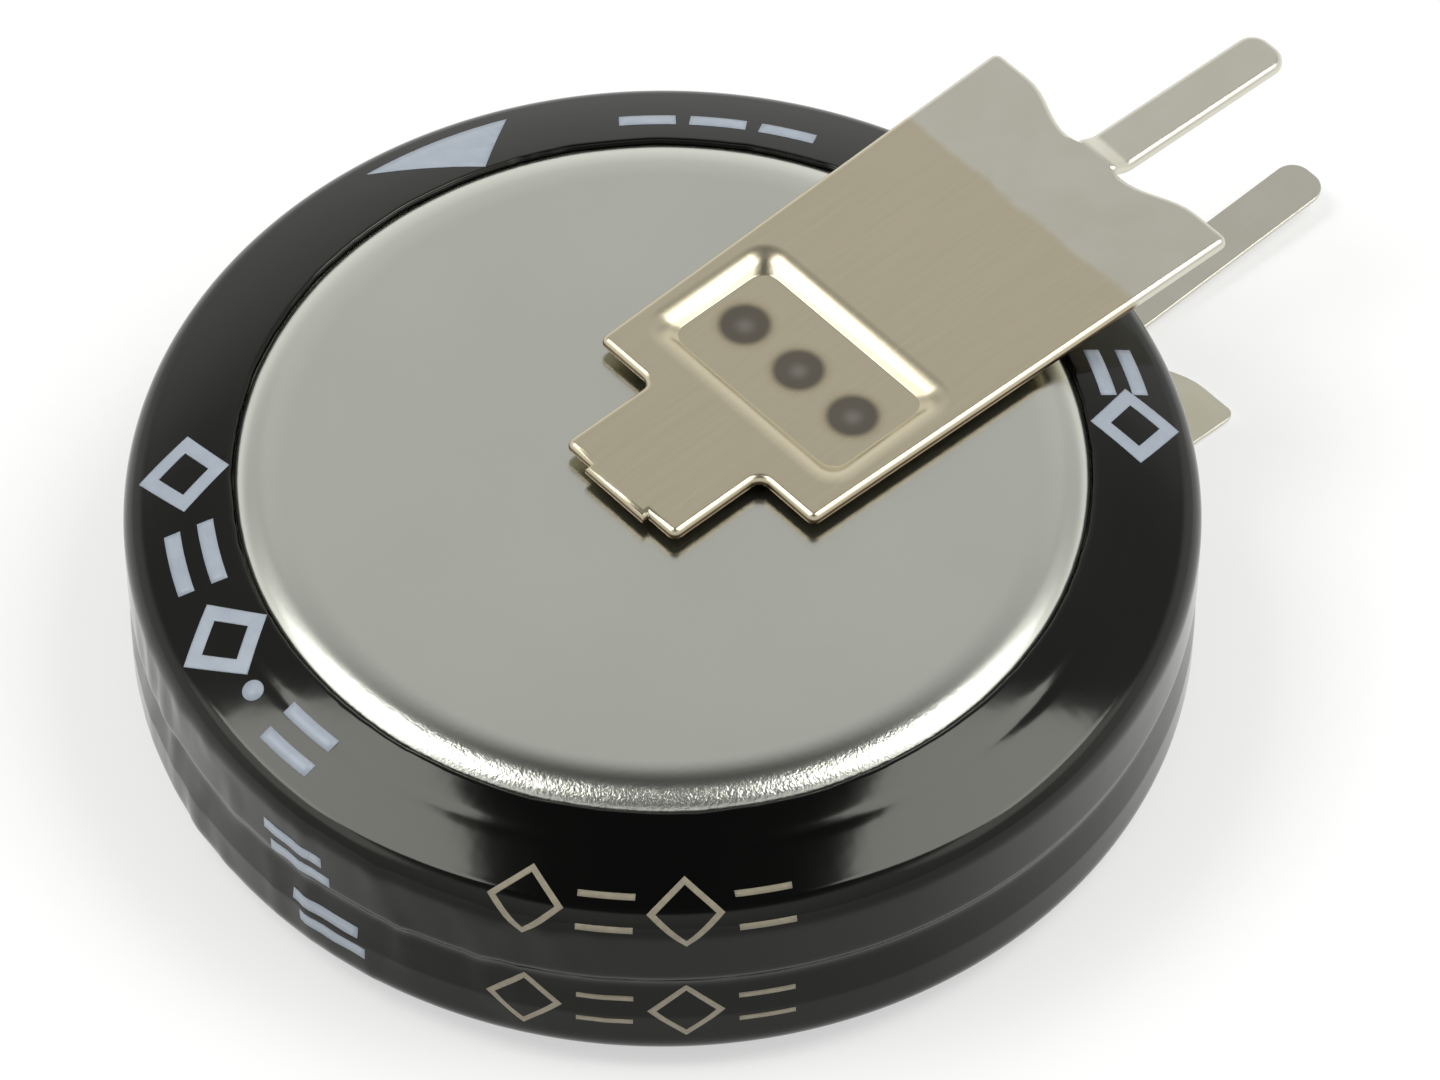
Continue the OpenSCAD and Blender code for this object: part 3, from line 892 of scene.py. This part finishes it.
def terminal_body(end_x, tip_x):
    """A terminal's whole shape, as the upper one lies, with its top at height 0."""
    bm = terminal_sheet(end_x, tip_x)
    for v in bm.verts:
        if v.co.x > end_x - ear_depth and abs(v.co.y) < pin_w / 2 + notch_w / 2:
            v.co.z -= pin_drop(v.co.x, end_x, tip_x)
    bmesh.ops.recalc_face_normals(bm, faces=bm.faces)
    face_up(bm)
    verts = sorted(bm.verts, key=by_place)
    edges = sorted(bm.edges, key=lambda e: sorted(by_place(v) for v in e.verts))
    bmesh.ops.dissolve_limit(bm, angle_limit=math.radians(0.5), verts=verts, edges=edges, delimit=set())
    bmesh.ops.solidify(bm, geom=bm.faces[:], thickness=plate_t)
    for v in bm.verts:
        if abs(v.co.x - pad_x) < pad_l / 2:
            v.co.z = max(v.co.z, -standoff - plate_t)
    drawn = [e for e in sharp_edges(bm) if max(f.normal.z for f in e.link_faces) > looks_up]
    round_edges(bm, drawn, edge_r, 4, clamp=False)
    round_edges(bm, sharp_edges(bm), burr_r, 4, clamp=False)
    return bm


print(f"the pin's tip lies {tip_drop:.2f} mm below the strip")

# %% [markdown]
# The lower terminal is the upper one turned over, with a longer pin. A negative scale turns a mesh inside
# out, so its faces are reversed. Smooth shading would bend light across the broad flat faces near a bevel.
# A Weighted Normal modifier lets the large faces set the normals, and the flats stay flat.

# %% Terminals


def make_terminal(name, node, flip):
    """Set a terminal in the place of its CAD node, turned over for the lower one."""
    low, high = node_box(node)
    bm = terminal_body(high.x - pin_length[node], high.x)
    rest_z = high.z
    if flip:
        bmesh.ops.scale(bm, vec=(1, 1, -1), verts=bm.verts)
        bmesh.ops.reverse_faces(bm, faces=bm.faces)
        rest_z = low.z
    strip_y = (low.y + high.y) / 2
    bmesh.ops.translate(bm, vec=(0, strip_y, rest_z), verts=bm.verts)
    piece = make_piece(name, bm, plated_strip(f"plated_{name}", strip_y), node)
    flat = piece.modifiers.new("flat faces stay flat", "WEIGHTED_NORMAL")
    flat.weight = 100
    flat.thresh = 0


make_terminal("upper_terminal_strip", "upper_terminal", flip=False)
make_terminal("lower_terminal_strip", "lower_terminal", flip=True)

# %% [markdown]
# The photo looks down at the part from the front left with a long lens, so the far side is hardly smaller
# than the near side. The camera's place, its aim and its small roll are written in millimetres and degrees.

# %% Camera
camera_place = Vector((-68.52, -76.58, 132.82))
camera_aim = Vector((-0.397, -2.111, 5.333))
camera_roll = math.radians(0.35)
lens = bpy.data.cameras.new("camera")
lens.sensor_width = 36
lens.lens = 209.2
lens.clip_start = 0.01
camera = bpy.data.objects.new("camera", lens)
bpy.context.scene.collection.objects.link(camera)
look = (camera_aim - camera_place).to_track_quat("-Z", "Y").to_matrix().to_4x4()
camera.matrix_world = Matrix.Translation(camera_place * MM) @ look @ Matrix.Rotation(camera_roll, 4, "Z")
bpy.context.scene.camera = camera
print("camera distance in mm:", round((camera_place - camera_aim).length, 1))

# %% [markdown]
# The light is a small tent. Two soft boxes hang to the left and right above the part, with a dark gap
# between them where the camera looks in. They draw the two pale patches on the film's shoulder. An area
# lamp's power grows with its size, so it is worked out from how bright the box itself should look.

# %% Soft boxes
ahead = Vector((camera_aim.x - camera_place.x, camera_aim.y - camera_place.y, 0)).normalized()
right = Vector((ahead.y, -ahead.x, 0))
box_height = 0.6
box_aside = 0.355
box_ahead = 0.03
box_size = (0.37, 0.3)
box_radiance = 5.6
box_turn = Matrix((right, ahead, Vector((0, 0, 1)))).transposed().to_4x4()
for side in (-1, 1):
    lamp = bpy.data.lights.new("soft_box", "AREA")
    lamp.shape = "RECTANGLE"
    lamp.size, lamp.size_y = box_size
    lamp.energy = box_radiance * math.pi * box_size[0] * box_size[1]
    box = bpy.data.objects.new("soft_box", lamp)
    bpy.context.scene.collection.objects.link(box)
    box_place = right * side * box_aside + ahead * box_ahead + Vector((0, 0, box_height))
    box.matrix_world = Matrix.Translation(box_place) @ box_turn
print("soft boxes:", box_size, "m at", box_height, "m")

# %% [markdown]
# The tent's walls are the world, a grey for each direction. Metal shows nothing but what it mirrors, so
# the walls shape it: the back wall is an even grey that the flat of the cap mirrors, and the roof is dark
# for the gap between the boxes. Each wall has its own levels by height. What a direction looks at depends
# on how high it points, how far to the side, and how far back towards the front of the tent.

# %% Walls and roof of the tent
world = bpy.data.worlds.new("tent")
bpy.context.scene.world = world
world.use_nodes = True
tree = world.node_tree
direction = add_node(tree, "ShaderNodeTexCoord").outputs["Generated"]
height = add_node(tree, "ShaderNodeSeparateXYZ", {"Vector": direction}).outputs["Z"]
aside, depth = [add_node(tree, "ShaderNodeVectorMath", {0: direction, 1: way},
                         operation="DOT_PRODUCT").outputs["Value"] for way in (right, -ahead)]
off_middle = add_node(tree, "ShaderNodeMath", {0: aside}, operation="ABSOLUTE").outputs["Value"]
wall_levels = {
    "back": [(0, 1.05), (0.25, 1.0), (0.4, 0.88), (0.55, 0.72), (0.78, 0.63), (0.85, 0.48), (0.92, 0.12),
             (0.97, 0.04)],
    "sides": [(0, 0.85), (0.2, 0.9), (0.35, 1.0), (0.45, 0.85), (0.56, 0.46), (0.63, 0.41), (0.75, 0.43),
              (0.9, 0.15), (0.97, 0.04)],
    "front": [(0, 0.75), (0.72, 0.75), (0.8, 0.1), (0.97, 0.04)],
    "front sides": [(0, 0.7), (0.75, 0.7), (0.85, 0.3), (0.97, 0.04)],
}
walls = {}
for name, levels in wall_levels.items():
    ramp = add_node(tree, "ShaderNodeValToRGB", {"Fac": height})
    stops = ramp.color_ramp.elements
    stops.remove(stops[1])
    for i, (at, level) in enumerate(levels):
        stop = stops[0] if i == 0 else stops.new(at)
        stop.position = at
        stop.color = (level, level, level, 1)
    walls[name] = ramp.outputs["Color"]
print("tent walls:", list(walls))

# %% [markdown]
# Two bright panels stand at the left and right, above the height that a view from the side mirrors. They
# light up the walls of the pressed pad and the rims. Every edge between walls and panels is soft: a smooth
# step of a direction's height, side or depth, from 0 where it starts to 1 where it ends. A panel is where
# all of its own steps are 1.

# %% Bright panels, and the tent put together
panel_left = 1.9
panel_right = 1.8
soft_step = {}
for name, value, start, end in (
        ("front", depth, 0.05, 0.35),
        ("side", off_middle, 0.25, 0.55),
        ("panel side", off_middle, 0.5, 0.62),
        ("panel top", height, 0.86, 0.76),
        ("panel foot", height, 0.42, 0.55),
        ("panel back", depth, -0.26, -0.12),
        ("panel front", depth, 0.55, 0.4)):
    soft_step[name] = add_node(tree, "ShaderNodeMapRange", {
        "Value": value, "From Min": start, "From Max": end},
        interpolation_type="SMOOTHSTEP").outputs["Result"]
panel = soft_step["panel side"]
for name in ("panel top", "panel foot", "panel back", "panel front"):
    panel = add_node(tree, "ShaderNodeMath", {0: panel, 1: soft_step[name]},
                     operation="MULTIPLY").outputs["Value"]
panel_level = add_node(tree, "ShaderNodeMapRange", {
    "Value": aside, "From Min": -0.7, "From Max": 0.7, "To Min": panel_left, "To Max": panel_right})
back_half, front_half = [add_node(tree, "ShaderNodeMix", {
    "Factor": soft_step["side"], COLOUR_A: walls[middle], COLOUR_B: walls[outer]},
    data_type="RGBA").outputs[COLOUR_OUT] for middle, outer in (("back", "sides"), ("front", "front sides"))]
room = add_node(tree, "ShaderNodeMix", {
    "Factor": soft_step["front"], COLOUR_A: back_half, COLOUR_B: front_half}, data_type="RGBA")
tent = add_node(tree, "ShaderNodeMix", {
    "Factor": panel, COLOUR_A: room.outputs[COLOUR_OUT], COLOUR_B: panel_level.outputs["Result"]},
    data_type="RGBA")
tree.links.new(tent.outputs[COLOUR_OUT], tree.nodes["Background"].inputs["Color"])
print(f"tent: {len(tree.nodes)} nodes")

# %% [markdown]
# The table is a broad, pale, matt sheet. A product picture shows it as plain white, so half of what the
# camera and mirrored rays see of it is light of strength 1. The other half is the lit sheet itself, which
# keeps the part's soft shadow. Scattered light comes from the sheet alone.

# %% Pale table
floor_half = 1.5
glow_share = 0.5
floor_bm = bmesh.new()
bmesh.ops.create_grid(floor_bm, x_segments=1, y_segments=1, size=floor_half)
floor_mesh = bpy.data.meshes.new("floor")
floor_bm.to_mesh(floor_mesh)
floor_bm.free()
floor = bpy.data.objects.new("floor", floor_mesh)
bpy.context.scene.collection.objects.link(floor)
table, tree, shader, _ = new_material("pale_table")
shader.inputs["Base Color"].default_value = linear("#F6F6F4")
shader.inputs["Roughness"].default_value = 0.9
glow = add_node(tree, "ShaderNodeEmission", {"Color": (1, 1, 1, 1), "Strength": 1.0})
ray = add_node(tree, "ShaderNodeLightPath")
seen = ray.outputs["Is Camera Ray"]
for kind in ("Is Glossy Ray", "Is Transmission Ray"):
    seen = add_node(tree, "ShaderNodeMath", {0: seen, 1: ray.outputs[kind]},
                    operation="MAXIMUM").outputs["Value"]
share = add_node(tree, "ShaderNodeMath", {0: seen, 1: glow_share}, operation="MULTIPLY")
surface = add_node(tree, "ShaderNodeMixShader", {
    0: share.outputs["Value"], 1: shader.outputs["BSDF"], 2: glow.outputs["Emission"]})
tree.links.new(surface.outputs["Shader"], tree.nodes["Material Output"].inputs["Surface"])
floor_mesh.materials.append(table)
print("table:", 2 * floor_half, "m wide")

# %% [markdown]
# Standard shows each colour as it is written, without a film look.

# %% View settings
bpy.context.scene.view_settings.view_transform = "Standard"
